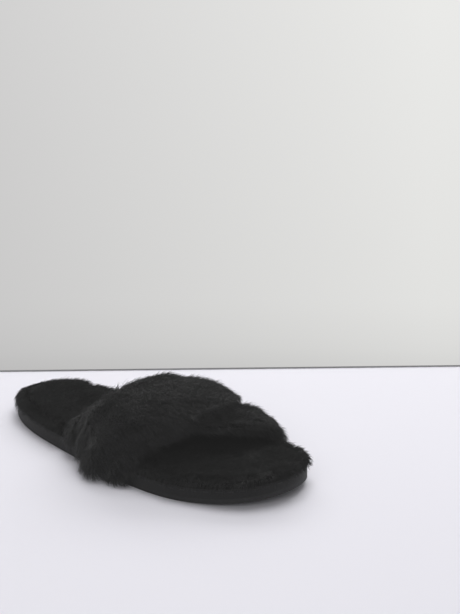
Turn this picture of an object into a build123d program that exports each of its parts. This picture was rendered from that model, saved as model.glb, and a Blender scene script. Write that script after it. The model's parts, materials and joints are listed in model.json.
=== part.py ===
from build123d import *
import math
import os

# Fluffy open-toe house slipper for a right foot, about size EU 39, in millimetres.
# +Y points to the toe, +X to the little-toe (lateral) side and +Z up.
# The origin is on the floor, under the middle of the outsole.

# Sole outline from above: half-breadths, as (distance along the foot, reach from the centre line)
HEEL_END = -136.0
TOE_END = 131.0
TOE_POINT_X = -6.5
LATERAL_REACH = [
    (-128, 21.5), (-101, 37.5), (-60, 46.5), (-20, 52),
    (25, 56.5), (60, 54.5), (97, 42), (123, 21),
]
MEDIAL_REACH = [
    (-129, -19), (-106, -33.5), (-75, -37), (-30, -39),
    (20, -44.5), (65, -50), (97, -46.5), (122.5, -32.5),
]

# Lengthwise curve of the sole: flat in the middle, lifted at the heel and sprung at the toe
FLAT_START = -84.0
FLAT_END = 59.0
HEEL_RADIUS = 540.0
HEEL_ARC_DEGREES = 8.0
TOE_RADIUS = 360.0
TOE_ARC_DEGREES = 15.0

# Half-width and height of the shapes that cut out the layers, larger than the slipper
CUTTER_REACH = 90.0
CUTTER_OVERLAP = 1.0

# Sole layers, as heights above the floor at the flat middle
OUTSOLE_TOP = 3.5
MIDSOLE_TOP = 9.5
BOARD_TOP = 10.7
FOAM_TOP = 12.7
PILE_TOP = 17.8

WRAP_THICKNESS = 0.8
WRAP_FLANGE = 9.0
FLANGE_THICKNESS = 0.6
PILE_EDGE_INSET = 0.5
FOAM_EDGE_INSET = 4.0
PILE_TO_BAND = 2.6
FOAM_TO_BAND = 5.0
LATERAL_ZONE = (-50, 40)
MEDIAL_ZONE = (-62, 84)

TREAD_BORDER = 8.0
TREAD_GROOVES = 19
TREAD_PITCH = 12.0
TREAD_WIDTH = 2.4
TREAD_DEPTH = 1.2

# Tunnel that both bands follow: the inner face of the lining
BAND_SEAT = 8.0
ARCH_BASE = 4.0
CROWN_HEIGHT = [(-70, 38), (-30, 39.5), (0, 40.5), (30, 42.0), (50, 38.5), (68, 33.5), (80, 28), (92, 24)]
CROWN_SHIFT = [(-70, 0), (0, 0), (30, -2), (60, -8), (90, -12)]
SIDE_POWER = 0.80
CROWN_POWER = 0.78
SHARE_STEP = 0.01

# Band edges on the unrolled tunnel, as (share of the way from lateral to medial, distance along the foot)
OVER_REAR_EDGE = [(0, -22), (0.2, -22), (0.35, -18), (0.5, -13), (0.65, -25), (0.8, -43), (1, -58)]
OVER_FRONT_EDGE = [(0, 34), (0.15, 33), (0.3, 48), (0.42, 56), (0.55, 58), (0.65, 54), (0.8, 36), (1, 12)]
UNDER_REAR_EDGE = [(0, -44), (0.15, -38), (0.3, -26), (0.5, -8), (0.7, 8), (0.85, 20), (1, 27)]
UNDER_FRONT_EDGE = [(0, -2), (0.15, 10), (0.35, 46), (0.5, 71), (0.65, 80), (0.8, 82), (1, 80)]

# Band build-up
LINING = 1.0
INTERLINING = 2.0
PELT = 7.0
PELT_EDGE = 3.5
PELT_PRESSED = 2.2
BAND_GAP = 1.2
LAYER_GAP = 0.05
EDGE_MARGIN = 2.0
TRANSITION = 12.0
BAND_SECTIONS = 17
ROW_POINTS = 9

# Lateral bulge of the bands' pile: extra thickness, its middle and half-length along the foot, and its fade
PELT_BULGE = 5.5
BULGE_SHARE = 0.22
BULGE_MIDDLE = 13.0
BULGE_HALF_LENGTH = 8.0
BULGE_FADE = 20.0

# Pile that hangs outside the sole below the bulge: lowest height, gap to the sole, reach and length
PILE_HANG = 4.5
HANG_GAP = 0.7
HANG_REACH = 25.0
HANG_LENGTH = 38.0

# Sewing thread
THREAD = 0.7
STITCH_LENGTH = 4.0
STITCH_PITCH = 9.0
SEAM_FROM_EDGE = 3.0
SEAM_START_SHARE = 0.10
SEAM_POINTS = 17
WRAP_SEAM_DROP = 1.6

# Blank satin label on the medial side of the lining
LABEL_SHARE = 0.69
LABEL_REAR = -31.0
LABEL_LENGTH = 30.0
LABEL_DROP = 12.0
LABEL_THICKNESS = 0.4
LABEL_CLEARANCE = 1.2
LABEL_STITCHES = 9
LABEL_STITCH_DROP = 1.2
LABEL_STITCH_LENGTH = 2.0
LABEL_THREAD = 0.46


def save(shape, name):
    os.makedirs("parts", exist_ok=True)
    export_step(shape, f"parts/{name}.step")


def read_table(table, position):
    """Smooth (Catmull-Rom) reading of a table of (position, value) pairs, held past its ends."""
    if position <= table[0][0]:
        return table[0][1]
    if position >= table[-1][0]:
        return table[-1][1]
    step = max(i for i, row in enumerate(table[:-1]) if row[0] <= position)
    rows = [table[max(step - 1, 0)], table[step], table[step + 1], table[min(step + 2, len(table) - 1)]]
    span = rows[2][0] - rows[1][0]
    t = (position - rows[1][0]) / span
    slope_in = (rows[2][1] - rows[0][1]) / (rows[2][0] - rows[0][0]) * span
    slope_out = (rows[3][1] - rows[1][1]) / (rows[3][0] - rows[1][0]) * span
    rise = rows[2][1] - rows[1][1]
    return (
        rows[1][1] + slope_in * t
        + (3 * rise - 2 * slope_in - slope_out) * t ** 2
        + (slope_in + slope_out - 2 * rise) * t ** 3
    )


def smooth_step(value):
    """Ease from 0 to 1."""
    value = min(max(value, 0.0), 1.0)
    return value * value * (3 - 2 * value)


# ---- Sole ----


def outline_points(inset):
    """Sole outline anticlockwise from the back of the heel, moved inwards by the inset."""
    points = [(0.0, HEEL_END)]
    points += [(reach, along) for along, reach in LATERAL_REACH]
    points.append((TOE_POINT_X, TOE_END))
    points += [(reach, along) for along, reach in reversed(MEDIAL_REACH)]
    moved = []
    for i, (x, y) in enumerate(points):
        before = points[i - 1]
        after = points[(i + 1) % len(points)]
        dx = after[0] - before[0]
        dy = after[1] - before[1]
        length = math.hypot(dx, dy)
        moved.append((x - inset * dy / length, y + inset * dx / length))
    return moved


def outline_curve(inset):
    return Spline(*outline_points(inset), periodic=True)


def outline_face(inset):
    return Face(Wire(outline_curve(inset)))


def rocker(y):
    """Rise of the sole's underside above the floor at a distance along the foot."""
    if y > FLAT_END:
        return TOE_RADIUS - math.sqrt(TOE_RADIUS ** 2 - (y - FLAT_END) ** 2)
    if y < FLAT_START:
        return HEEL_RADIUS - math.sqrt(HEEL_RADIUS ** 2 - (FLAT_START - y) ** 2)
    return 0.0


def rocker_path(height):
    """Side view of one layer boundary: heel arc, flat middle and toe arc."""
    heel = CenterArc((FLAT_START, height + HEEL_RADIUS), HEEL_RADIUS, 270, -HEEL_ARC_DEGREES)
    middle = Line((FLAT_START, height), (FLAT_END, height))
    toe = CenterArc((FLAT_END, height + TOE_RADIUS), TOE_RADIUS, 270, TOE_ARC_DEGREES)
    return [heel, middle, toe]


def layer_space(bottom, top):
    """Everything between two layer boundaries, as wide as the whole slipper."""
    low = rocker_path(bottom)
    high = rocker_path(top)
    ends = [Line(low[0] @ 1, high[0] @ 1), Line(low[2] @ 1, high[2] @ 1)]
    profile = Plane.YZ * make_face(low + high + ends)
    return extrude(profile, CUTTER_REACH, both=True)


def slab(face, bottom, top):
    """A layer of the sole with the plan shape of the face."""
    column = Pos(0, 0, -CUTTER_OVERLAP) * extrude(face, CUTTER_REACH, dir=(0, 0, 1))
    return column & layer_space(bottom, top)


def band_zones():
    """Plan areas at the two sides of the sole where the bands stand."""
    zones = []
    for side, (rear, front) in ((1, LATERAL_ZONE), (-1, MEDIAL_ZONE)):
        middle = Pos(side * CUTTER_REACH / 2, (rear + front) / 2)
        zones.append(middle * Rectangle(CUTTER_REACH, front - rear))
    return zones[0] + zones[1]


def footbed_face(edge_inset, gap_to_band):
    """Footbed outline: close to the sole's edge, and stepped in where the bands stand."""
    return outline_face(edge_inset) - (band_zones() - outline_face(BAND_SEAT + gap_to_band))


def make_outsole():
    tread_area = outline_face(TREAD_BORDER)
    groove_space = slab(tread_area, -CUTTER_OVERLAP, TREAD_DEPTH)
    first = -TREAD_PITCH * (TREAD_GROOVES - 1) / 2
    grooves = [
        Pos(0, first + i * TREAD_PITCH, 0) * Box(2 * CUTTER_REACH, TREAD_WIDTH, CUTTER_REACH)
        for i in range(TREAD_GROOVES)
    ]
    return slab(outline_face(0), 0, OUTSOLE_TOP) - (groove_space & Compound(grooves))


def make_flange():
    """Edge of the wrap that is folded under the midsole."""
    ring = outline_face(WRAP_THICKNESS) - outline_face(WRAP_FLANGE)
    return slab(ring, OUTSOLE_TOP, OUTSOLE_TOP + FLANGE_THICKNESS)


def make_wrap():
    ring = outline_face(0) - outline_face(WRAP_THICKNESS)
    return slab(ring, OUTSOLE_TOP, BOARD_TOP) + make_flange()


def make_midsole():
    return slab(outline_face(WRAP_THICKNESS), OUTSOLE_TOP, MIDSOLE_TOP) - make_flange()


def make_board():
    return slab(outline_face(WRAP_THICKNESS), MIDSOLE_TOP, BOARD_TOP)


def make_footbed_foam():
    return slab(footbed_face(FOAM_EDGE_INSET, FOAM_TO_BAND), BOARD_TOP, FOAM_TOP)


def make_footbed_fur():
    """Deep-pile sock that caps the foam and reaches down to the board around it."""
    pile = slab(footbed_face(PILE_EDGE_INSET, PILE_TO_BAND), BOARD_TOP, PILE_TOP)
    return pile - slab(footbed_face(FOAM_EDGE_INSET, FOAM_TO_BAND), BOARD_TOP, FOAM_TOP)


# ---- Bands ----


def arch_section(share, y):
    """Inner face of the lining across the foot: (x, z) at a share of the way from lateral to medial."""
    lateral = read_table(LATERAL_REACH, y) - BAND_SEAT
    medial = read_table(MEDIAL_REACH, y) + BAND_SEAT
    angle = math.pi * share
    sideways = math.copysign(abs(math.cos(angle)) ** SIDE_POWER, math.cos(angle))
    upwards = max(math.sin(angle), 0.0)
    x = (lateral + medial) / 2 + (lateral - medial) / 2 * sideways + read_table(CROWN_SHIFT, y) * upwards
    z = ARCH_BASE + (read_table(CROWN_HEIGHT, y) - ARCH_BASE) * upwards ** CROWN_POWER
    return x, z


def arch_point(share, y, lift):
    """Point that lies outside the lining's inner face by the lift."""
    x, z = arch_section(share, y)
    if share in (0, 1):
        return Vector(x + (lift if share == 0 else -lift), y, z)
    x0, z0 = arch_section(max(share - SHARE_STEP, 0), y)
    x1, z1 = arch_section(min(share + SHARE_STEP, 1), y)
    length = math.hypot(x1 - x0, z1 - z0)
    return Vector(x + lift * (z1 - z0) / length, y, z - lift * (x1 - x0) / length)


def inside_band(rear_edge, front_edge, share, y):
    """1 on the band and fading to 0 over the transition length outside its two edges."""
    behind = read_table(rear_edge, share) - EDGE_MARGIN - y
    ahead = y - read_table(front_edge, share) - EDGE_MARGIN
    return 1 - smooth_step(max(behind, ahead) / TRANSITION)


def pelt_thickness(across, full):
    """Pile that thins towards both edges of the band."""
    edge = min(PELT_EDGE, full)
    return edge + (full - edge) * (1 - (2 * across - 1) ** 4)


def lateral_bulge(share, y):
    """Extra pile at the lateral foot of a band, where it spills over the edge of the sole."""
    beyond = abs(y - BULGE_MIDDLE) - BULGE_HALF_LENGTH
    return PELT_BULGE * (1 - smooth_step(share / BULGE_SHARE)) * (1 - smooth_step(beyond / BULGE_FADE))


def under_floor(share, y, across):
    return 0.0


def under_pile(share, y, across):
    covered = inside_band(OVER_REAR_EDGE, OVER_FRONT_EDGE, share, y)
    full = PELT + lateral_bulge(share, y)
    return pelt_thickness(across, full + (PELT_PRESSED - full) * covered)


def over_floor(share, y, across):
    """The over band lies on the tunnel and climbs over the under band where they cross."""
    crossing = inside_band(UNDER_REAR_EDGE, UNDER_FRONT_EDGE, share, y)
    return crossing * (LINING + INTERLINING + PELT_PRESSED + BAND_GAP)


def over_pile(share, y, across):
    return pelt_thickness(across, PELT + lateral_bulge(share, y))


UNDER_BAND = (UNDER_REAR_EDGE, UNDER_FRONT_EDGE, under_floor, under_pile)
OVER_BAND = (OVER_REAR_EDGE, OVER_FRONT_EDGE, over_floor, over_pile)


def band_row(band, share, height):
    """Points across the band at one share; height gives the lift above the band's own floor."""
    rear_edge, front_edge, floor, pile = band
    rear = read_table(rear_edge, share)
    front = read_table(front_edge, share)
    row = []
    for i in range(ROW_POINTS):
        across = i / (ROW_POINTS - 1)
        y = rear + (front - rear) * across
        base = floor(share, y, across)
        row.append(arch_point(share, y, base + height(share, y, across)))
    return row


def band_layer(band, bottom, top):
    """Closed arched strip between two heights above the band's floor.

    The cross-sections are closer together at the two ends, where the strip turns upright.
    """
    sections = []
    for i in range(BAND_SECTIONS):
        share = 0.5 - 0.5 * math.cos(math.pi * i / (BAND_SECTIONS - 1))
        low = band_row(band, share, bottom)
        high = band_row(band, share, top)
        edges = [
            Spline(*low),
            Line(low[-1], high[-1]),
            Spline(*reversed(high)),
            Line(high[0], low[0]),
        ]
        sections.append(Wire(edges))
    return Solid.make_loft(sections)


def make_lining(band):
    strip = band_layer(band, lambda s, y, a: 0.0, lambda s, y, a: LINING)
    return strip & layer_space(BOARD_TOP, CUTTER_REACH)


def make_interlining(band):
    strip = band_layer(band, lambda s, y, a: LINING + LAYER_GAP, lambda s, y, a: LINING + INTERLINING)
    return strip & layer_space(BOARD_TOP, CUTTER_REACH)


def space_beside_sole():
    """Room just outside the sole's edge at the bulge, from a little above the floor up to the board."""
    ring = outline_face(-HANG_REACH) - outline_face(-HANG_GAP)
    height = BOARD_TOP + CUTTER_OVERLAP - PILE_HANG
    beside = Pos(0, 0, PILE_HANG) * extrude(ring, height, dir=(0, 0, 1))
    bulge_stretch = Pos(CUTTER_REACH, BULGE_MIDDLE, 0) * Box(2 * CUTTER_REACH, HANG_LENGTH, CUTTER_REACH)
    return beside & bulge_stretch


def make_pelt(band):
    """Pile that stands on the board and hangs down beside the sole on the lateral side."""
    skin = LINING + INTERLINING + LAYER_GAP
    pile = band[3]
    strip = band_layer(band, lambda s, y, a: skin, lambda s, y, a: skin + pile(s, y, a))
    return strip & (layer_space(BOARD_TOP, CUTTER_REACH) + space_beside_sole())


# ---- Sewing and label ----


def stitch(start, end):
    """One thread float between two holes."""
    centre = (start + end) * 0.5
    direction = end - start
    return Plane(origin=centre, z_dir=direction) * Cylinder(THREAD / 2, direction.length)


def edge_seam(band, edge_index, inwards):
    """Row of stitches on the lining beside one edge of a band."""
    edge = band[edge_index]
    floor = band[2]
    path = []
    for i in range(SEAM_POINTS):
        share = SEAM_START_SHARE + (1 - 2 * SEAM_START_SHARE) * i / (SEAM_POINTS - 1)
        y = read_table(edge, share) + inwards
        path.append(arch_point(share, y, floor(share, y, 0)))
    curve = Spline(*path)
    count = int(curve.length / STITCH_PITCH)
    return [
        stitch(curve @ (i / count), curve @ (i / count + STITCH_LENGTH / curve.length))
        for i in range(count)
    ]


def make_band_stitches(band):
    return Compound(edge_seam(band, 0, SEAM_FROM_EDGE) + edge_seam(band, 1, -SEAM_FROM_EDGE))


def make_wrap_stitches():
    """Seam that joins the wrap to the sock, near the top of the sidewall."""
    curve = outline_curve(0)
    count = int(curve.length / STITCH_PITCH)
    stitches = []
    for i in range(count):
        start = curve @ (i / count)
        end = curve @ (i / count + STITCH_LENGTH / curve.length)
        height = BOARD_TOP - WRAP_SEAM_DROP
        stitches.append(stitch(
            Vector(start.X, start.Y, height + rocker(start.Y)),
            Vector(end.X, end.Y, height + rocker(end.Y)),
        ))
    return Compound(stitches)


def label_plane():
    """Frame of the label: origin in the middle of its sewn top edge, x along the foot and y upwards."""
    rear = arch_point(LABEL_SHARE, LABEL_REAR, -LABEL_CLEARANCE)
    front = arch_point(LABEL_SHARE, LABEL_REAR + LABEL_LENGTH, -LABEL_CLEARANCE)
    along = (front - rear).normalized()
    return Plane(origin=(rear + front) * 0.5, x_dir=along, z_dir=along.cross(Vector(0, 0, 1)))


def make_label():
    return label_plane() * Pos(0, -LABEL_DROP / 2, 0) * Box(LABEL_LENGTH, LABEL_DROP, LABEL_THICKNESS)


def make_label_stitches():
    pitch = LABEL_LENGTH / LABEL_STITCHES
    frame = label_plane()
    first = -pitch * (LABEL_STITCHES - 1) / 2
    return Compound([
        frame
        * Pos(first + i * pitch, -LABEL_STITCH_DROP, LABEL_THICKNESS / 2)
        * Rot(0, 90, 0)
        * Cylinder(LABEL_THREAD / 2, LABEL_STITCH_LENGTH)
        for i in range(LABEL_STITCHES)
    ])


save(make_outsole(), "outsole")
save(make_wrap(), "sole_wrap")
save(make_midsole(), "midsole")
save(make_board(), "insole_board")
save(make_footbed_foam(), "footbed_foam")
save(make_footbed_fur(), "footbed_fur")
for band_name, band_shape in (("over_band", OVER_BAND), ("under_band", UNDER_BAND)):
    save(make_lining(band_shape), f"{band_name}_lining")
    save(make_interlining(band_shape), f"{band_name}_interlining")
    save(make_pelt(band_shape), f"{band_name}_fur")
    save(make_band_stitches(band_shape), f"{band_name}_stitches")
save(make_wrap_stitches(), "wrap_stitches")
save(make_label(), "label")
save(make_label_stitches(), "label_stitches")
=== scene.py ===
"""Looks of the crossover fur slipper: pelts, mesh fur, linings, sole and label around the CAD frame."""
import json
import math
from types import SimpleNamespace

import bpy
import numpy as np
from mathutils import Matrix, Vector, kdtree, noise


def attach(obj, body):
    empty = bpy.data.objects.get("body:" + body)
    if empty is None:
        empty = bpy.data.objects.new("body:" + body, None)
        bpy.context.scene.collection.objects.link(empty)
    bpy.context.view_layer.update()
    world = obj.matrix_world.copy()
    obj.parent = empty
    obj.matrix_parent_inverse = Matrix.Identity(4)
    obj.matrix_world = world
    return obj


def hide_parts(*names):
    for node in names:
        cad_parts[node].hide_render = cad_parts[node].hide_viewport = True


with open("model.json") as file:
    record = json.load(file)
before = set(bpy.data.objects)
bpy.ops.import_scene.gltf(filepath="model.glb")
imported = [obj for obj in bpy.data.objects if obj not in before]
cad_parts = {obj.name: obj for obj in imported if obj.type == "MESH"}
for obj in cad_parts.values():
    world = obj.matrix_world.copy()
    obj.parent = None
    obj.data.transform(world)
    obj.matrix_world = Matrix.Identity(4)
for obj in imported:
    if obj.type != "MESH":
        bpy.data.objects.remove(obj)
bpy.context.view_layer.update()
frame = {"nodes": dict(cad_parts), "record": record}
NODES = frame["nodes"]
BODY = "slipper"
MM = 0.001

# Keeps a vector of no length from being divided by zero
SHORTEST = 1e-9

# Multiplied into a direction, they leave its level part, or its part across the foot
LEVEL = np.array([1.0, 1.0, 0.0])
ACROSS = np.array([1.0, 0.0, 1.0])

# Without a seed of its own, the noise would be different in each run
NOISE_SEED = 5
noise.seed_set(NOISE_SEED)

# Seeds: each piece has its own for random draws and noise, and every kind of unevenness adds a number to it
FOOTBED_DRAWS = 11
FOOTBED_SEED = 1
BAND_SEEDS = {"under_band": 21, "over_band": 31}
INSIDE_SEED_STEP = 20
COMB_NOISE = 1
LENGTH_NOISE = 2
STAND_NOISE = 3
RUFFLE_NOISE = 4
WRINKLE_NOISE = 5

# How far apart in the noise two neighbouring seeds read it
NOISE_STEPS = (7.3, 3.1, 5.7)

# Camera: where it stands, seen from a point on the floor between the ball and the middle of the foot
LOOK_POINT = Vector((-1.3, 15.0, 0.0)) * MM
CAMERA_DISTANCE = 1.6
CAMERA_TURN = math.radians(44.8)
CAMERA_RISE = math.radians(24.5)
AIM_RIGHT = math.radians(1.638)
AIM_UP = math.radians(3.908)
LENS = 126.1
SENSOR_WIDTH = 36.0

# Directions: level towards the camera, straight to the camera, and the picture's right and up
FORWARD = Vector((math.cos(CAMERA_TURN), math.sin(CAMERA_TURN), 0))
TO_CAMERA = FORWARD * math.cos(CAMERA_RISE) + Vector((0, 0, math.sin(CAMERA_RISE)))
RIGHT = Vector((0, 0, 1)).cross(TO_CAMERA).normalized()
UP = TO_CAMERA.cross(RIGHT)

# Lights: distances up, right and forward from the target in metres, then size in metres and power in watts
LIGHT_TARGET = Vector((0, 0, 0.03))
LIGHTS = [
    ("key", (1.6, 0.20, -0.35), (1.2, 1.2), 15.0),
    ("wall_glow", (0.85, 0.25, -1.3), (2.0, 0.6), 12.0),
    ("fill", (0.9, -0.3, 1.3), (1.2, 0.8), 6.0),
]

# Wall: shade by height of the view direction, from its foot to the ceiling, and light from left to right,
# darker on the left
WALL_FOOT = -0.38
WALL_SHADE = [
    (0.0, (0.76, 0.76, 0.76)),
    (0.009, (0.86, 0.86, 0.86)),
    (0.022, (0.92, 0.92, 0.92)),
    (0.117, (1.0, 1.0, 1.0)),
    (0.38, (1.0, 1.0, 1.0)),
    (0.60, (0.62, 0.62, 0.62)),
]
WALL_HALF_BREADTH = 0.12
WALL_SIDE_LIGHT = [(0.0, (0.60, 0.595, 0.595)), (1.0, (0.82, 0.82, 0.805))]

# Room: dark where a view faces the camera's side, as light as the wall where it faces the wall
ROOM_SHADE = [(0.0, (0.25, 0.25, 0.25)), (0.45, (0.45, 0.45, 0.45)), (0.8, (1.0, 1.0, 1.0))]

# Soft blacks, as in a faded print
BLACK_LIFT = 0.011

# Floor: how far behind the look point it ends, how far it reaches, and the dark strip of painted shadow at
# the wall's foot
FLOOR_BEHIND = 0.166
FLOOR_REACH = 4.0
FLOOR_COLOUR = (0.785, 0.775, 0.835)
WALL_FOOT_SHADOW_HEIGHT = 1.3 * MM
WALL_FOOT_SHADOW_COLOUR = (0.33, 0.33, 0.33)

# Label: its cut size, thickness, how far its lower part stands off the lining, and the rows of its mesh
LABEL_WIDTH = 0.030
LABEL_DROP = 0.012
LABEL_THICKNESS = 0.3 * MM
LABEL_CREASE = 0.7 * MM
LABEL_COLUMNS = 61
LABEL_ROWS = 25

# Label's folds: radians across, radians down and height; their mean; and how folds and hem grow downwards
LABEL_FOLDS = [(9.0, 1.6, 0.45), (21.0, -3.0, 0.2)]
LABEL_FOLD_MEAN = 0.45
LABEL_FOLD_GROWTH = 1.3
LABEL_HEM_CURL = 0.5
LABEL_HEM_GROWTH = 4

# Strands: how far along a strand bends, how much the way there rises and leans, and its rings from the root
BEND_SHARE = 0.45
BEND_RISE = 0.8
BEND_LEAN = 0.6
RING_SHARES = np.array([0.0, 0.4, 0.75])
RING_THICKNESS = np.array([1.0, 0.9, 0.6])
SIDES = 3
WIDTH_SPREAD = (0.75, 1.25)
LOWEST_TIP = 0.6 * MM

# A direction that hardly any strand runs along, to find the sides of its tube
ODD_DIRECTION = np.array([0.31, 0.17, 0.93])

# Strands in one mesh, and the breadth of one strand's strip in the UV layer
STRANDS_PER_PIECE = 12000
STRIP_WIDTH = 0.08

# Tufts: more centres than the flat area needs, as the skin is curved, and how strongly they draw strands in
TUFT_SURPLUS = 2.2
FEWEST_TUFTS = 8
TUFT_STRENGTH = (0.55, 1.0)

# Patches of longer and of steeper pile: by how much, as a share
LENGTH_PATCHES = 0.20
STAND_PATCHES = 0.2

# Decimals of a metre by which corners are told apart when they are sorted
PLACE_DECIMALS = 6

# How the pile looks. Lengths, widths and the spacing of tufts are in millimetres, density is per square
# millimetre, and the scales are the noise's. stand: share of the length that rises off the skin; swirl and
# jitter: how far strands stray from the comb, in patches and one by one; droop: how far gravity pulls the
# tips down; tufts: spacing and pull of each size; tones: the shape of their beta distribution.
FOOTBED_COAT = SimpleNamespace(
    density=2.3,
    length=7.6,
    length_spread=0.18,
    length_scale=60.0,
    width=0.29,
    stand=0.60,
    stand_scale=45.0,
    stand_limits=(0.2, 0.95),
    swirl=0.40,
    swirl_scale=38.0,
    jitter=0.20,
    droop=0.05,
    tufts=[(6.0, 0.14), (2.2, 0.22)],
    tones=(1.6, 4.2),
)
BAND_COAT = SimpleNamespace(
    density=2.7,
    length=9.0,
    length_spread=0.19,
    length_scale=60.0,
    width=0.28,
    stand=0.50,
    stand_scale=42.0,
    stand_limits=(0.2, 0.9),
    swirl=0.30,
    swirl_scale=30.0,
    jitter=0.17,
    droop=0.06,
    tufts=[(7.0, 0.16), (2.2, 0.36)],
    tones=(2.1, 2.4),
)

# Footbed's skin in millimetres: its bumps, and its depth under the CAD's mean pile on top and at the side
FOOTBED_BUMP = 1.2
FOOTBED_BUMP_SCALE = 90.0
FOOTBED_SINK = 3.2
FOOTBED_SIDE_SINK = 0.6

# Footbed's pile: where it grows, and its comb towards the toe
FOOTBED_ROOT_HEIGHT = 11.0 * MM
FOOTBED_ROOT_NORMAL = -0.15
FOOTBED_COMB = np.array([0.0, 0.4, 0.0])

# Footbed's rim: which faces are its side, and how the pile near it leans outwards and down with a ruffle,
# stands lower on top and steeper at the side, droops more and is shorter
SIDE_NORMAL = 0.5
RIM_BREADTH = 9.0 * MM
RIM_OUTWARDS = 1.4
RIM_DOWN = np.array([0.0, 0.0, 0.5])
RIM_RUFFLE = 0.5
RIM_RUFFLE_SCALE = 150.0
RIM_LOWER = 0.40
RIM_SIDE_STAND = 0.55
RIM_DROOP = 0.12
RIM_SHORTER = 0.32

# Heel: how far skin and foam fall away at its rim, over what breadth, and from where along the foot
HEEL_FALL = 4.2 * MM
FOAM_FALL = 1.7 * MM
HEEL_FALL_BREADTH = 24.0 * MM
HEEL_FALL_START = -50.0 * MM
HEEL_FALL_FADE = 35.0 * MM

# The skin falls only above the foot of the pile, and at the very back the tips droop more
PILE_FOOT = 12.0 * MM
PILE_DEPTH = 5.0 * MM
HEEL_BACK = -112.0 * MM
HEEL_BACK_FADE = 15.0 * MM
HEEL_DROOP = 0.35

# Bands: the middle of the foot's tunnel, and in millimetres the skin's bumps and depth under the mean pile
ARCH_AXIS = np.array([0.0, 0.0, 12.0]) * MM
BAND_BUMP = 1.0
BAND_BUMP_SCALE = 80.0
BAND_SINK = 2.2

# Bands' pile: it grows where the skin doesn't face inwards or down, and is combed towards the toe, down at
# the sides and out over the edges
BAND_ROOT_FACING = -0.1
BAND_ROOT_NORMAL = -0.8
BAND_COMB = np.array([0.0, 1.0, 0.0])
BAND_SIDE_COMB = np.array([0.0, 0.0, -0.9])
BAND_EDGE_COMB = np.array([0.0, 1.2, 0.0])
BAND_SIDE_DROOP = 0.1

# Longer and steeper pile at the arch's feet
LOW_FUR_TOP = 26.0 * MM
LOW_FUR_BOTTOM = 13.0 * MM
LOW_FUR_EXTRA = 0.15
LOW_FUR_STAND = 0.15

# Pile over the padding's raw edges: how much denser it is, and which roots are at an edge
EDGE_DENSER = 1.2
EDGE_FACING = 0.75
EDGE_NORMAL = 0.45
EDGE_ROOT_HEIGHT = 12.0 * MM

# Wrinkles of the lining: height in millimetres, and longer along the foot than across
WRINKLE_HEIGHT = 1.1
WRINKLE_SCALE = 110.0
WRINKLE_STRETCH = np.array([1.0, 0.45, 1.0])

# Materials: painted shade at a strand's root and painted sheen towards its tip, tones from the darkest strand
# to the lightest, and the noise range over which a blotchy colour changes
STRAND_SHADE_AND_SHEEN = [
    (0.0, (0.0065, 0.0068, 0.0068)),
    (0.45, (0.0114, 0.0118, 0.0118)),
    (1.0, (0.0198, 0.0203, 0.0205)),
]
STRAND_TONES = [(0.0, (0.72, 0.72, 0.73)), (0.6, (1.0, 1.0, 1.0)), (1.0, (1.35, 1.34, 1.37))]
BLOTCH_LOW = 0.3
BLOTCH_HIGH = 0.7
BLOTCH_DETAIL = 6.0

# Mottled materials: noise scale, darker and lighter shade, finish, and depth of the relief in millimetres
MOTTLE_STRENGTH = 0.6
MOTTLED = {
    "padding_felt": SimpleNamespace(
        scale=1200.0, low=(0.006, 0.006, 0.0062), high=(0.014, 0.014, 0.0145),
        roughness=0.95, specular=0.1, sheen=0.0, relief=0.1),
    "lining_fleece": SimpleNamespace(
        scale=1600.0, low=(0.0065, 0.0065, 0.007), high=(0.016, 0.016, 0.0165),
        roughness=0.92, specular=0.15, sheen=0.25, relief=0.16),
    "cushion_foam": SimpleNamespace(
        scale=800.0, low=(0.012, 0.012, 0.0123), high=(0.024, 0.024, 0.0246),
        roughness=0.95, specular=0.1, sheen=0.0, relief=0.1),
    "outsole_rubber": SimpleNamespace(
        scale=420.0, low=(0.0075, 0.0075, 0.008), high=(0.015, 0.015, 0.0155),
        roughness=0.62, specular=0.35, sheen=0.0, relief=0.05),
    "midsole_foam": SimpleNamespace(
        scale=900.0, low=(0.010, 0.010, 0.0105), high=(0.020, 0.020, 0.021),
        roughness=0.9, specular=0.2, sheen=0.0, relief=0.08),
    "fibre_board": SimpleNamespace(
        scale=500.0, low=(0.008, 0.008, 0.0078), high=(0.017, 0.0165, 0.016),
        roughness=0.9, specular=0.2, sheen=0.0, relief=0.06),
}

# Blender's wave texture at scale 1 turns through this many radians in a metre
WAVE_RATE = 20


# ---- Small helpers ----


def unit(vectors):
    return vectors / np.maximum(np.linalg.norm(vectors, axis=-1, keepdims=True), SHORTEST)


def add_object(name, data):
    """New object in the scene for a mesh, camera or light."""
    obj = bpy.data.objects.new(name, data)
    bpy.context.scene.collection.objects.link(obj)
    return obj


def evaluated_copy(obj):
    """New mesh with the object's modifiers applied."""
    depsgraph = bpy.context.evaluated_depsgraph_get()
    return bpy.data.meshes.new_from_object(obj.evaluated_get(depsgraph))


def cad_copy(node_name, name):
    """New object with a copy of a CAD node's mesh, in the same place."""
    obj = add_object(name, evaluated_copy(NODES[node_name]))
    obj.matrix_world = NODES[node_name].matrix_world.copy()
    return obj


def apply_modifiers(obj):
    mesh = evaluated_copy(obj)
    obj.modifiers.clear()
    obj.data = mesh


def remesh(obj, voxel, smoothing):
    """Even triangles all over, with the CAD's sharp edges softened."""
    even = obj.modifiers.new("Even", "REMESH")
    even.mode = "VOXEL"
    even.voxel_size = voxel
    soften = obj.modifiers.new("Soften", "SMOOTH")
    soften.iterations = smoothing
    split = obj.modifiers.new("Split", "TRIANGULATE")
    split.quad_method = "SHORTEST_DIAGONAL"
    apply_modifiers(obj)


def shade_smooth(obj):
    obj.data.polygons.foreach_set("use_smooth", [True] * len(obj.data.polygons))


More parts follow.
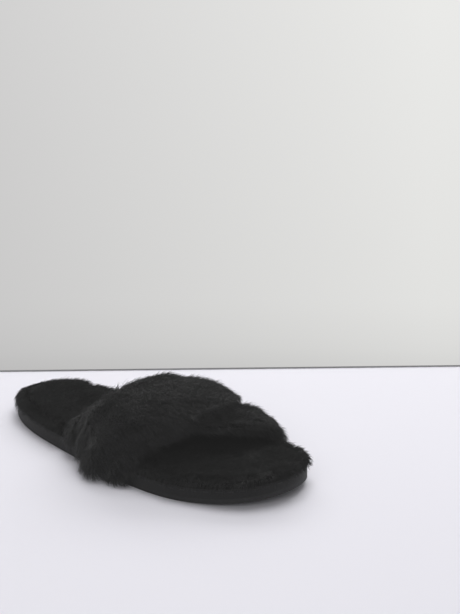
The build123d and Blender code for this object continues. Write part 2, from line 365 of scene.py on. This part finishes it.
def vertex_arrays(mesh):
    count = len(mesh.vertices)
    points = np.empty(count * 3)
    normals = np.empty(count * 3)
    mesh.vertices.foreach_get("co", points)
    mesh.vertices.foreach_get("normal", normals)
    return points.reshape(-1, 3), normals.reshape(-1, 3)


def move_vertices(obj, points):
    obj.data.vertices.foreach_set("co", points.ravel())
    obj.data.update()


def noise_field(points, scale, seed):
    """Smooth random vector for each point, with features about 1/scale metres across."""
    offset = Vector([seed * step for step in NOISE_STEPS])
    return np.array([noise.noise_vector(Vector(p) * scale + offset) for p in points])


# ---- Materials ----


def new_material(name):
    material = bpy.data.materials.new(name)
    material.use_nodes = True
    tree = material.node_tree
    return material, tree, tree.nodes["Principled BSDF"]


def node(tree, kind, **settings):
    made = tree.nodes.new(kind)
    for key, value in settings.items():
        setattr(made, key, value)
    return made


def ramp(tree, stops):
    made = node(tree, "ShaderNodeValToRGB")
    elements = made.color_ramp.elements
    while len(elements) < len(stops):
        elements.new(0.5)
    for element, (position, colour) in zip(elements, stops):
        element.position = position
        element.color = (*colour, 1.0)
    return made


def multiply(tree, first, second):
    """Product of two colours."""
    mix = node(tree, "ShaderNodeMix", data_type="RGBA", blend_type="MULTIPLY")
    mix.inputs["Factor"].default_value = 1.0
    tree.links.new(first, mix.inputs["A"])
    tree.links.new(second, mix.inputs["B"])
    return mix.outputs["Result"]


def object_place(tree):
    return node(tree, "ShaderNodeTexCoord").outputs["Object"]


def set_finish(shader, roughness, specular, sheen=0.0):
    shader.inputs["Roughness"].default_value = roughness
    shader.inputs["Specular IOR Level"].default_value = specular
    shader.inputs["Sheen Weight"].default_value = sheen


def noise_colour(tree, place, shader, scale, low, high):
    """Blotchy colour between two shades; gives the noise's height."""
    cloud = node(tree, "ShaderNodeTexNoise")
    cloud.inputs["Scale"].default_value = scale
    cloud.inputs["Detail"].default_value = BLOTCH_DETAIL
    shades = ramp(tree, [(BLOTCH_LOW, low), (BLOTCH_HIGH, high)])
    tree.links.new(place, cloud.inputs["Vector"])
    tree.links.new(cloud.outputs["Fac"], shades.inputs["Fac"])
    tree.links.new(shades.outputs["Color"], shader.inputs["Base Color"])
    return cloud.outputs["Fac"]


def wave(tree, place, direction, pitch, distortion):
    """Height of ridges across one axis, a pitch in millimetres apart."""
    ridges = node(tree, "ShaderNodeTexWave", wave_type="BANDS", bands_direction=direction)
    ridges.inputs["Scale"].default_value = 2 * math.pi / (WAVE_RATE * pitch * MM)
    ridges.inputs["Distortion"].default_value = distortion
    ridges.inputs["Detail"].default_value = 1.0
    tree.links.new(place, ridges.inputs["Vector"])
    return ridges.outputs["Fac"]


def add_relief(tree, shader, height, strength, distance):
    """Relief from a height, with its depth in millimetres."""
    bump = node(tree, "ShaderNodeBump")
    bump.inputs["Strength"].default_value = strength
    bump.inputs["Distance"].default_value = distance * MM
    tree.links.new(height, bump.inputs["Height"])
    tree.links.new(bump.outputs["Normal"], shader.inputs["Normal"])


def fur_material(name, roughness, specular):
    """Black pile with painted shade, dark at the root, and painted sheen, a little lighter and cooler at the
    tip; one tone per strand.
    """
    material, tree, shader = new_material(name)
    strip = node(tree, "ShaderNodeUVMap", uv_map="OFBake")
    split = node(tree, "ShaderNodeSeparateXYZ")
    # Painted shade at the root and painted sheen at the tip, along each strand
    along = ramp(tree, STRAND_SHADE_AND_SHEEN)
    tone = ramp(tree, STRAND_TONES)
    tree.links.new(strip.outputs["UV"], split.inputs["Vector"])
    tree.links.new(split.outputs["Y"], along.inputs["Fac"])
    tree.links.new(split.outputs["X"], tone.inputs["Fac"])
    colour = multiply(tree, along.outputs["Color"], tone.outputs["Color"])
    tree.links.new(colour, shader.inputs["Base Color"])
    set_finish(shader, roughness, specular, sheen=0.06)
    shader.inputs["Sheen Roughness"].default_value = 0.4
    return material


def undercoat_material():
    """Short dense pile at the roots, seen between the strands."""
    material, tree, shader = new_material("black_fur_undercoat")
    noise_colour(tree, object_place(tree), shader,
                 scale=900.0, low=(0.004, 0.004, 0.0041), high=(0.008, 0.008, 0.0082))
    set_finish(shader, roughness=0.95, specular=0.1)
    return material


def mottled_material(name):
    """Blotchy colour whose fine noise also gives the relief: felt, fleece, foam, rubber and board."""
    look = MOTTLED[name]
    material, tree, shader = new_material(name)
    cloud = noise_colour(tree, object_place(tree), shader, look.scale, look.low, look.high)
    set_finish(shader, look.roughness, look.specular, look.sheen)
    add_relief(tree, shader, cloud, MOTTLE_STRENGTH, look.relief)
    return material


def twill_material():
    """Wrap's textile: ridges along and across, with yarn-to-yarn colour differences."""
    material, tree, shader = new_material("wrap_twill")
    place = object_place(tree)
    noise_colour(tree, place, shader, scale=700.0, low=(0.006, 0.006, 0.0063), high=(0.013, 0.013, 0.0135))
    cross = node(tree, "ShaderNodeMath", operation="MAXIMUM")
    for socket, direction in zip(cross.inputs, "YZ"):
        tree.links.new(wave(tree, place, direction, pitch=0.8, distortion=0.4), socket)
    set_finish(shader, roughness=0.85, specular=0.25, sheen=0.12)
    add_relief(tree, shader, cross.outputs["Value"], strength=0.8, distance=0.12)
    return material


def satin_material():
    """Pale woven satin: fine ribs along the label and a soft gloss."""
    material, tree, shader = new_material("label_satin")
    place = object_place(tree)
    noise_colour(tree, place, shader, scale=260.0, low=(0.285, 0.280, 0.285), high=(0.345, 0.338, 0.342))
    ribs = wave(tree, place, "Z", pitch=0.25, distortion=0.1)
    set_finish(shader, roughness=0.38, specular=0.45, sheen=0.1)
    add_relief(tree, shader, ribs, strength=0.35, distance=0.04)
    return material


def thread_material():
    """Dark polyester thread with its twist."""
    material, tree, shader = new_material("sewing_thread")
    place = object_place(tree)
    noise_colour(tree, place, shader, scale=1500.0, low=(0.007, 0.007, 0.0075), high=(0.016, 0.016, 0.017))
    twist = wave(tree, place, "DIAGONAL", pitch=0.35, distortion=0.2)
    set_finish(shader, roughness=0.45, specular=0.35)
    add_relief(tree, shader, twist, strength=0.7, distance=0.08)
    return material


def plain_material(name, colour, roughness, specular):
    material, _, shader = new_material(name)
    shader.inputs["Base Color"].default_value = (*colour, 1.0)
    set_finish(shader, roughness, specular)
    return material


# ---- Fur ----


class Roots:
    """Places on a pelt where strands start, with the skin's normal at each."""

    def __init__(self, points, normals):
        self.points = points
        self.normals = normals

    def keep(self, chosen):
        return Roots(self.points[chosen], self.normals[chosen])


def steady_triangles(mesh, points):
    """Corners of every triangle, listed by where they are, so that each run draws the same strands."""
    corners = np.empty(len(mesh.polygons) * 3, dtype=np.int64)
    mesh.polygons.foreach_get("vertices", corners)
    corners = corners.reshape(-1, 3)
    rank = np.empty(len(points), dtype=np.int64)
    rank[np.lexsort(np.round(points, PLACE_DECIMALS).T)] = np.arange(len(points))
    corners = np.take_along_axis(corners, np.argsort(rank[corners], axis=1), axis=1)
    return corners[np.lexsort(rank[corners].T)]


def scatter_roots(obj, density, rng):
    """Random roots over the whole mesh, density per square millimetre."""
    points, normals = vertex_arrays(obj.data)
    corners = steady_triangles(obj.data, points)
    a, b, c = (points[corners[:, i]] for i in range(3))
    areas = np.linalg.norm(np.cross(b - a, c - a), axis=1) / 2
    total = areas.sum()
    count = int(total / MM ** 2 * density)
    face = rng.choice(len(areas), size=count, p=areas / total)
    u, v = rng.random(count), rng.random(count)
    flip = u + v > 1
    u[flip], v[flip] = 1 - u[flip], 1 - v[flip]
    weights = np.stack([1 - u - v, u, v], axis=1)
    chosen = corners[face]
    place = np.einsum("ij,ijk->ik", weights, points[chosen])
    normal = unit(np.einsum("ij,ijk->ik", weights, normals[chosen]))
    return Roots(place, normal)


def gather_tufts(points, tips, spacing, pull, rng):
    """Draws the tips of neighbouring strands together into tufts about the given spacing apart."""
    span = np.ptp(points, axis=0)
    wanted = max(FEWEST_TUFTS, int(TUFT_SURPLUS * span[0] * span[1] / spacing ** 2))
    centres = rng.choice(len(points), size=min(wanted, len(points)), replace=False)
    tree = kdtree.KDTree(len(centres))
    for i, centre in enumerate(centres):
        tree.insert(points[centre], i)
    tree.balance()
    nearest = np.array([centres[tree.find(p)[1]] for p in points])
    strength = pull * rng.uniform(*TUFT_STRENGTH, len(points))[:, None]
    return tips + (tips[nearest] - tips) * strength


def strand_corners(roots, bends, tips, widths):
    """Corners of every strand: rings of a thin tube along its curve, then the tip."""
    t = RING_SHARES[None, :, None]
    start, middle, end = roots[:, None, :], bends[:, None, :], tips[:, None, :]
    centres = (1 - t) ** 2 * start + 2 * t * (1 - t) * middle + t ** 2 * end
    tangents = unit(2 * (1 - t) * (middle - start) + 2 * t * (end - middle))
    side = unit(np.cross(tangents, np.broadcast_to(ODD_DIRECTION, tangents.shape)))
    other = np.cross(tangents, side)
    radius = (widths[:, None] / 2 * RING_THICKNESS[None, :])[..., None, None]
    angles = np.arange(SIDES) * 2 * math.pi / SIDES
    around = (side[:, :, None, :] * np.cos(angles)[None, None, :, None]
              + other[:, :, None, :] * np.sin(angles)[None, None, :, None])
    tube = centres[:, :, None, :] + radius * around
    return np.concatenate([tube.reshape(len(roots), -1, 3), tips[:, None, :]], axis=1)


def strand_faces():
    """Faces of one strand: its foot, the tube between its rings, and the point."""
    rings = len(RING_SHARES)
    faces = [tuple(reversed(range(SIDES)))]
    for ring in range(rings - 1):
        low = ring * SIDES
        high = low + SIDES
        for i in range(SIDES):
            j = (i + 1) % SIDES
            faces.append((low + i, low + j, high + j, high + i))
    last = (rings - 1) * SIDES
    faces += [(last + i, last + (i + 1) % SIDES, last + SIDES) for i in range(SIDES)]
    return faces


def strand_mesh(name, corners, tones):
    """One mesh for many strands, with its tone and its share of the length at every corner as UV."""
    count, per_strand = corners.shape[:2]
    faces = strand_faces()
    one_loop = np.array([corner for face in faces for corner in face])
    sizes = np.tile([len(face) for face in faces], count)
    loops = (one_loop[None, :] + np.arange(count)[:, None] * per_strand).ravel()
    starts = np.concatenate([[0], np.cumsum(sizes)[:-1]])

    mesh = bpy.data.meshes.new(name)
    mesh.vertices.add(count * per_strand)
    mesh.vertices.foreach_set("co", corners.ravel())
    mesh.loops.add(len(loops))
    mesh.loops.foreach_set("vertex_index", loops.astype(np.int32))
    mesh.polygons.add(len(sizes))
    mesh.polygons.foreach_set("loop_start", starts.astype(np.int32))
    mesh.polygons.foreach_set("use_smooth", np.ones(len(sizes), dtype=bool))

    shares = np.array([*np.repeat(RING_SHARES, SIDES), 1.0])
    across = np.array([*np.tile(np.linspace(0, 1, SIDES), len(RING_SHARES)), 0.5])
    layer = mesh.uv_layers.new(name="OFBake")
    u = tones[:, None] * (1 - STRIP_WIDTH) + (across[one_loop] * STRIP_WIDTH)[None, :]
    v = np.broadcast_to(shares[one_loop], u.shape)
    layer.data.foreach_set("uv", np.stack([u, v], axis=-1).ravel().astype(np.float32))
    mesh.update()
    mesh.validate()
    return mesh


def add_fur(name, roots, corners, tones, material):
    """Splits the strands into pieces of even size, back to front, so that no mesh is too heavy."""
    order = np.argsort(roots.points[:, 1])
    parts = max(1, math.ceil(len(order) / STRANDS_PER_PIECE))
    for i, chosen in enumerate(np.array_split(order, parts)):
        label = f"{name}_{i + 1}"
        mesh = strand_mesh(label, corners[chosen], tones[chosen])
        mesh.materials.append(material)
        obj = add_object(label, mesh)
        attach(obj, BODY)


def grow(name, coat, roots, comb, lengths, stand, droop, material, rng):
    """Strands that leave the skin along its normal, then lean over along the comb direction.

    comb: direction for each root; stand: share of the length that rises off the skin;
    droop: how far gravity pulls the tip down, as a share of the length.
    """
    points, normals = roots.points, roots.normals
    stand = np.clip(stand, *coat.stand_limits)
    flat = unit(comb - normals * np.sum(comb * normals, axis=1, keepdims=True))
    jitter = rng.normal(0, coat.jitter, points.shape)
    lean = np.sqrt(np.maximum(1 - stand ** 2, 0.0))
    direction = unit(normals * stand[:, None] + flat * lean[:, None] + jitter)
    tips = points + direction * lengths[:, None]
    tips[:, 2] -= droop * lengths
    for spacing, pull in coat.tufts:
        tips = gather_tufts(points, tips, spacing * MM, pull, rng)
    tips[:, 2] = np.maximum(tips[:, 2], LOWEST_TIP)
    bends = points + unit(normals * BEND_RISE + direction * BEND_LEAN) * (lengths * BEND_SHARE)[:, None]
    tones = rng.beta(*coat.tones, len(points))
    widths = coat.width * MM * rng.uniform(*WIDTH_SPREAD, len(points))
    add_fur(name, roots, strand_corners(points, bends, tips, widths), tones, material)


def random_lengths(points, coat, rng):
    """Length of each strand in metres, before patches."""
    return rng.normal(1.0, coat.length_spread, len(points)) * coat.length * MM


def swirls(points, coat, seed):
    """What the comb direction strays by at each point."""
    return noise_field(points, coat.swirl_scale, seed + COMB_NOISE) * coat.swirl


def length_patches(points, coat, seed):
    """Length of the pile at each point, as a share of its mean."""
    return 1 + LENGTH_PATCHES * noise_field(points, coat.length_scale, seed + LENGTH_NOISE)[:, 0]


def patchy_stand(points, coat, seed):
    """How much the pile rises off the skin at each point, steeper in some patches."""
    return coat.stand + STAND_PATCHES * noise_field(points, coat.stand_scale, seed + STAND_NOISE)[:, 0]


def soft_piece(node_name, name, material, voxel, smoothing):
    """Own mesh for a soft CAD solid: even triangles in the same place, riding on the slipper.

    voxel: spacing of the new points in millimetres; smoothing: how many rounds of it.
    """
    obj = cad_copy(node_name, name)
    remesh(obj, voxel * MM, smoothing)
    obj.data.materials.clear()
    obj.data.materials.append(material)
    shade_smooth(obj)
    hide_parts(node_name)
    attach(obj, BODY)
    return obj


# ---- Footbed ----


class Rim:
    """Edge of the footbed: tells how near a point is to it and which way is outwards there."""

    def __init__(self, pelt):
        points, normals = vertex_arrays(pelt.data)
        on_side = np.abs(normals[:, 2]) < SIDE_NORMAL
        self.outwards = unit(normals[on_side] * LEVEL)
        self.tree = kdtree.KDTree(int(on_side.sum()))
        for i, point in enumerate(points[on_side]):
            self.tree.insert(point, i)
        self.tree.balance()

    def read(self, points, breadth):
        found = [self.tree.find(point) for point in points]
        near = np.clip(1 - np.array([f[2] for f in found]) / breadth, 0, 1)
        return near, self.outwards[[f[1] for f in found]]


def heel_share(points, rim):
    """How much of the heel's fall each point takes: all of it at the rim, none at mid-foot."""
    near = rim.read(points, HEEL_FALL_BREADTH)[0]
    behind = np.clip((HEEL_FALL_START - points[:, 1]) / HEEL_FALL_FADE, 0, 1)
    return near ** 2 * behind


def make_footbed_pelt(undercoat):
    """Skin under the footbed's pile: a little uneven, and lower towards the back of the heel."""
    pelt = soft_piece("footbed_fur", "footbed_pelt", undercoat, voxel=2.0, smoothing=8)
    points, normals = vertex_arrays(pelt.data)
    bumps = noise_field(points, FOOTBED_BUMP_SCALE, FOOTBED_SEED)[:, :1] * FOOTBED_BUMP
    up = normals[:, 2:]
    sunk = FOOTBED_SINK * np.clip(up, 0, 1) + FOOTBED_SIDE_SINK * (1 - np.abs(up))
    move_vertices(pelt, points + normals * (bumps - sunk) * MM)
    points = vertex_arrays(pelt.data)[0]
    above = np.clip((points[:, 2] - PILE_FOOT) / PILE_DEPTH, 0, 1)
    points[:, 2] -= HEEL_FALL * heel_share(points, Rim(pelt)) * above
    move_vertices(pelt, points)
    return pelt


def make_cushion(rim):
    """Foam under the footbed's pile, thinner towards the back of the heel like the pile."""
    pad = soft_piece("footbed_foam", "footbed_cushion", mottled_material("cushion_foam"),
                     voxel=1.2, smoothing=4)
    points, normals = vertex_arrays(pad.data)
    points[:, 2] -= FOAM_FALL * heel_share(points, rim) * np.clip(normals[:, 2], 0, 1)
    move_vertices(pad, points)


def footbed_strands(roots, rim, pile, rng):
    """Swirling pile that leans towards the toe, and outwards and down around the rim."""
    points = roots.points
    near, outwards = rim.read(points, RIM_BREADTH)
    comb = swirls(points, FOOTBED_COAT, FOOTBED_SEED) + FOOTBED_COMB * (1 - near[:, None])
    ruffle = noise_field(points, RIM_RUFFLE_SCALE, FOOTBED_SEED + RUFFLE_NOISE) * RIM_RUFFLE
    comb = comb + (outwards * RIM_OUTWARDS - RIM_DOWN + ruffle) * near[:, None]
    lengths = random_lengths(points, FOOTBED_COAT, rng)
    lengths *= length_patches(points, FOOTBED_COAT, FOOTBED_SEED) * (1 - RIM_SHORTER * near)
    side = 1 - np.clip(roots.normals[:, 2], 0, 1)
    stand = patchy_stand(points, FOOTBED_COAT, FOOTBED_SEED) + near * (RIM_SIDE_STAND * side - RIM_LOWER)
    back = np.clip((HEEL_BACK - points[:, 1]) / HEEL_BACK_FADE, 0, 1)
    droop = FOOTBED_COAT.droop + (RIM_DROOP + HEEL_DROOP * back) * near
    grow("footbed_fur_strands", FOOTBED_COAT, roots, comb, lengths, stand, droop, pile, rng)


def make_footbed(undercoat, pile):
    rng = np.random.default_rng(FOOTBED_DRAWS)
    pelt = make_footbed_pelt(undercoat)
    rim = Rim(pelt)
    make_cushion(rim)
    roots = scatter_roots(pelt, FOOTBED_COAT.density, rng)
    facing_up = roots.normals[:, 2] > FOOTBED_ROOT_NORMAL
    roots = roots.keep(facing_up & (roots.points[:, 2] > FOOTBED_ROOT_HEIGHT))
    footbed_strands(roots, rim, pile, rng)


# ---- Bands ----


def arch_outward(points):
    """Direction from the middle of the foot's tunnel to each point, across the foot."""
    return unit((points - ARCH_AXIS) * ACROSS)


def band_strands(name, roots, seed, pile, rng):
    """Combed towards the toe on the crown and downwards at the sides, longest at the foot of the arch."""
    points, normals = roots.points, roots.normals
    side = np.clip(1 - normals[:, 2:3], 0, 1)
    comb = BAND_COMB + side * BAND_SIDE_COMB
    comb = comb + swirls(points, BAND_COAT, seed) + normals * BAND_EDGE_COMB
    low = np.clip((LOW_FUR_TOP - points[:, 2]) / (LOW_FUR_TOP - LOW_FUR_BOTTOM), 0, 1)
    lengths = random_lengths(points, BAND_COAT, rng)
    lengths *= length_patches(points, BAND_COAT, seed) * (1 + LOW_FUR_EXTRA * low)
    stand = patchy_stand(points, BAND_COAT, seed) + LOW_FUR_STAND * low
    droop = BAND_COAT.droop + BAND_SIDE_DROOP * side[:, 0]
    grow(name, BAND_COAT, roots, comb, lengths, stand, droop, pile, rng)


def make_band(band, seed, undercoat, pile):
    """Pelt of a band and its pile."""
    rng = np.random.default_rng(seed)
    pelt = soft_piece(f"{band}_fur", f"{band}_pelt", undercoat, voxel=1.3, smoothing=6)
    points, normals = vertex_arrays(pelt.data)
    facing = np.clip(np.sum(arch_outward(points) * normals, axis=1, keepdims=True), 0, 1)
    bumps = noise_field(points, BAND_BUMP_SCALE, seed)[:, :1]
    move_vertices(pelt, points + normals * (bumps * BAND_BUMP - BAND_SINK) * MM * facing)
    roots = scatter_roots(pelt, BAND_COAT.density, rng)
    facing = np.sum(arch_outward(roots.points) * roots.normals, axis=1)
    roots = roots.keep((facing > BAND_ROOT_FACING) & (roots.normals[:, 2] > BAND_ROOT_NORMAL))
    band_strands(f"{band}_fur_strands", roots, seed, pile, rng)


def make_padding(band, seed, felt, pile):
    """Padding of a band, with pile growing over its raw edges."""
    rng = np.random.default_rng(seed)
    padding = soft_piece(f"{band}_interlining", f"{band}_padding", felt,
                         voxel=0.9, smoothing=5)
    roots = scatter_roots(padding, BAND_COAT.density * EDGE_DENSER, rng)
    facing = np.abs(np.sum(arch_outward(roots.points) * roots.normals, axis=1))
    at_edge = (facing < EDGE_FACING) & (np.abs(roots.normals[:, 1]) > EDGE_NORMAL)
    roots = roots.keep(at_edge & (roots.points[:, 2] > EDGE_ROOT_HEIGHT))
    band_strands(f"{band}_edge_strands", roots, seed, pile, rng)


def make_lining(band, seed, fleece):
    """Lining of a band, wrinkled along the foot."""
    cloth = soft_piece(f"{band}_lining", f"{band}_lining_cloth", fleece, voxel=0.62, smoothing=3)
    points, normals = vertex_arrays(cloth.data)
    wrinkles = noise_field(points * WRINKLE_STRETCH, WRINKLE_SCALE, seed + WRINKLE_NOISE)[:, :1]
    inner = np.clip(-np.sum(arch_outward(points) * normals, axis=1, keepdims=True), 0, 1)
    move_vertices(cloth, points + normals * inner * np.abs(wrinkles) * WRINKLE_HEIGHT * MM)


# ---- Hard parts and label ----


def dress(node_name, material):
    """Gives a CAD node whose shape is right its material."""
    mesh = NODES[node_name].data
    mesh.materials.clear()
    mesh.materials.append(material)


def dress_hard_parts(thread):
    dress("outsole", mottled_material("outsole_rubber"))
    dress("sole_wrap", twill_material())
    dress("midsole", mottled_material("midsole_foam"))
    dress("insole_board", mottled_material("fibre_board"))
    for stitches in ("wrap_stitches", "over_band_stitches", "under_band_stitches", "label_stitches"):
        dress(stitches, thread)


def label_sheet():
    """Points of the label's cloth, row by row from its sewn edge down, with its folds."""
    hinge = frame["record"]["behaviour"]["joints"][0]
    top = np.array(hinge["pos_m"])
    along = -unit(np.array(hinge["axis"]))
    inwards = unit(np.cross(along, np.array([0.0, 0.0, 1.0])))
    down = np.cross(along, inwards)
    if down[2] > 0:
        down = -down
    across = np.linspace(-0.5, 0.5, LABEL_COLUMNS)[None, :, None]
    fall = np.linspace(0.0, 1.0, LABEL_ROWS)[:, None, None]
    folds = sum(np.sin(across * ripple + fall * slant) * height for ripple, slant, height in LABEL_FOLDS)
    folds = (folds + LABEL_FOLD_MEAN) * fall ** LABEL_FOLD_GROWTH
    lift = (folds + LABEL_HEM_CURL * fall ** LABEL_HEM_GROWTH) * LABEL_CREASE
    sheet = top + along * across * LABEL_WIDTH + down * fall * LABEL_DROP + inwards * lift
    return sheet.reshape(-1, 3)


def make_label(satin):
    """Blank satin label, sewn along its top edge and a little creased below."""
    faces = []
    for row in range(LABEL_ROWS - 1):
        for column in range(LABEL_COLUMNS - 1):
            first = row * LABEL_COLUMNS + column
            below = first + LABEL_COLUMNS
            faces.append((first, first + 1, below + 1, below))
    mesh = bpy.data.meshes.new("satin_label")
    mesh.from_pydata(label_sheet().tolist(), [], faces)
    mesh.materials.append(satin)
    label = add_object("satin_label", mesh)
    thicken = label.modifiers.new("Cloth thickness", "SOLIDIFY")
    thicken.thickness = LABEL_THICKNESS
    thicken.offset = 0.0
    apply_modifiers(label)
    shade_smooth(label)
    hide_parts("label")
    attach(label, "label")


# ---- Studio ----


def make_camera():
    data = bpy.data.cameras.new("camera")
    data.lens = LENS
    data.sensor_width = SENSOR_WIDTH
    camera = add_object("camera", data)
    camera.location = LOOK_POINT + TO_CAMERA * CAMERA_DISTANCE
    aim = -TO_CAMERA + RIGHT * math.tan(AIM_RIGHT) + UP * math.tan(AIM_UP)
    camera.rotation_mode = "QUATERNION"
    camera.rotation_quaternion = aim.to_track_quat("-Z", "Y")
    bpy.context.scene.camera = camera


def stage_face(name, corners, material):
    """Flat face with four corners that belongs to the studio."""
    mesh = bpy.data.meshes.new(name)
    mesh.from_pydata([tuple(corner) for corner in corners], [], [(0, 1, 2, 3)])
    mesh.materials.append(material)
    add_object(name, mesh)


def make_floor():
    """Painted floor that ends at the wall, with a dark strip of painted shadow along the wall's foot."""
    far = LOOK_POINT - FORWARD * FLOOR_BEHIND
    left_end = far - RIGHT * FLOOR_REACH
    right_end = far + RIGHT * FLOOR_REACH
    near_side = FORWARD * FLOOR_REACH
    shadow_top = Vector((0, 0, WALL_FOOT_SHADOW_HEIGHT))
    stage_face("floor", [left_end, right_end, right_end + near_side, left_end + near_side],
               plain_material("floor_paint", FLOOR_COLOUR, roughness=0.7, specular=0.2))
    # Dark strip at the wall's foot: painted shadow where the floor meets the wall
    stage_face("wall_foot_shadow", [left_end, right_end, right_end + shadow_top, left_end + shadow_top],
               plain_material("painted_wall_foot_shadow", WALL_FOOT_SHADOW_COLOUR, roughness=0.9, specular=0.5))


def make_lights():
    for name, (up, right, forward), size, power in LIGHTS:
        data = bpy.data.lights.new(name, "AREA")
        data.shape = "RECTANGLE"
        data.size, data.size_y = size
        data.energy = power
        light = add_object(name, data)
        light.location = LIGHT_TARGET + Vector((0, 0, up)) + RIGHT * right + FORWARD * forward
        light.rotation_mode = "QUATERNION"
        light.rotation_quaternion = (LIGHT_TARGET - light.location).to_track_quat("-Z", "Y")


def shade_along(tree, view, direction, low, high, stops):
    """Colour of a view direction by how far it points along another direction."""
    along = node(tree, "ShaderNodeVectorMath", operation="DOT_PRODUCT")
    along.inputs[1].default_value = direction
    share = node(tree, "ShaderNodeMapRange")
    share.inputs["From Min"].default_value = low
    share.inputs["From Max"].default_value = high
    colours = ramp(tree, stops)
    tree.links.new(view, along.inputs[0])
    tree.links.new(along.outputs["Value"], share.inputs["Value"])
    tree.links.new(share.outputs["Result"], colours.inputs["Fac"])
    return colours.outputs["Color"]


def make_world():
    """Wall and room around the slipper, as light and as backdrop."""
    world = bpy.data.worlds.new("studio")
    world.use_nodes = True
    tree = world.node_tree
    view = node(tree, "ShaderNodeTexCoord").outputs["Generated"]
    shade = shade_along(tree, view, (0.0, 0.0, 1.0), WALL_FOOT, 1.0, WALL_SHADE)
    # Light of the wall and room, darker on the left and brighter on the right
    side_light = shade_along(tree, view, RIGHT, -WALL_HALF_BREADTH, WALL_HALF_BREADTH, WALL_SIDE_LIGHT)
    room = shade_along(tree, view, -FORWARD, -1.0, 1.0, ROOM_SHADE)
    colour = multiply(tree, multiply(tree, shade, side_light), room)
    tree.links.new(colour, tree.nodes["Background"].inputs["Color"])
    bpy.context.scene.world = world


def grade_picture():
    grade = bpy.context.scene.view_settings
    grade.view_transform = "Standard"
    grade.use_curve_mapping = True
    grade.curve_mapping.black_level = (-BLACK_LIFT, -BLACK_LIFT, -BLACK_LIFT)
    grade.curve_mapping.update()


band_pile = fur_material("black_fur_strands", roughness=0.45, specular=0.50)
footbed_pile = fur_material("black_footbed_strands", roughness=0.60, specular=0.22)
skin = undercoat_material()
padding_felt = mottled_material("padding_felt")
lining_fleece = mottled_material("lining_fleece")
dress_hard_parts(thread_material())
make_footbed(skin, footbed_pile)
for band_name, band_seed in BAND_SEEDS.items():
    make_band(band_name, band_seed, skin, band_pile)
    make_padding(band_name, band_seed + INSIDE_SEED_STEP, padding_felt, band_pile)
    make_lining(band_name, band_seed + INSIDE_SEED_STEP, lining_fleece)
make_label(satin_material())
make_camera()
make_floor()
make_lights()
make_world()
grade_picture()
